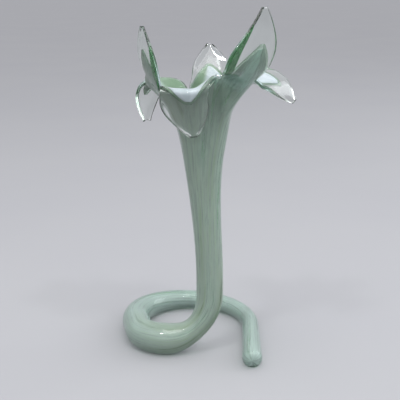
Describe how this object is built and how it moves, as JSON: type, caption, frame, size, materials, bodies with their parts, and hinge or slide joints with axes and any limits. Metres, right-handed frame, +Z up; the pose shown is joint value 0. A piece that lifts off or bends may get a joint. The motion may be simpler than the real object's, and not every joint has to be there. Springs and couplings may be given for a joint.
{
  "type": "art glass vase",
  "caption": "Hand blown cased-glass lily vase: a petalled, flared mouth on a tapering hollow stem that bends over into a coiled glass foot.",
  "frame": {"origin": "on the surface the vase stands on, under the middle of its outline", "axes": "+Z up along the stem, +X towards the straight tail of the foot, -Y towards the petal that folds down over the throat"},
  "size_m": [0.1692, 0.1888, 0.33],
  "materials": {
    "clear_glass": "fire-polished, clear",
    "green_glass": "streaked translucent green",
    "opal_glass": "milky opal white"
  },
  "bodies": {
    "root": {"clear_casing_flare": "clear_glass", "clear_casing_throat": "clear_glass", "clear_casing_stem": "clear_glass", "clear_casing_bend": "clear_glass", "clear_casing_coil_front": "clear_glass", "clear_casing_coil_back": "clear_glass", "clear_casing_tail": "clear_glass", "clear_casing_petal_front": "clear_glass", "clear_casing_petal_right_front": "clear_glass", "clear_casing_petal_right": "clear_glass", "clear_casing_petal_back": "clear_glass", "clear_casing_petal_left_back": "clear_glass", "clear_casing_petal_left": "clear_glass", "green_layer_flare": "green_glass", "green_layer_throat": "green_glass", "green_layer_stem": "green_glass", "green_layer_bend": "green_glass", "green_layer_coil_front": "green_glass", "green_layer_coil_back": "green_glass", "green_layer_tail": "green_glass", "green_layer_petal_front": "green_glass", "green_layer_petal_right_front": "green_glass", "green_layer_petal_right": "green_glass", "green_layer_petal_back": "green_glass", "green_layer_petal_left_back": "green_glass", "green_layer_petal_left": "green_glass", "opal_lining_flare": "opal_glass", "opal_lining_throat": "opal_glass", "opal_lining_stem": "opal_glass", "opal_lining_bend": "opal_glass", "opal_lining_coil_front": "opal_glass", "opal_lining_coil_back": "opal_glass", "opal_lining_tail": "opal_glass", "opal_lining_petal_front": "opal_glass", "opal_lining_petal_right_front": "opal_glass", "opal_lining_petal_right": "opal_glass", "opal_lining_petal_back": "opal_glass", "opal_lining_petal_left_back": "opal_glass", "opal_lining_petal_left": "opal_glass", "sealed_tail_tip": "clear_glass"}
  },
  "joints": []
}
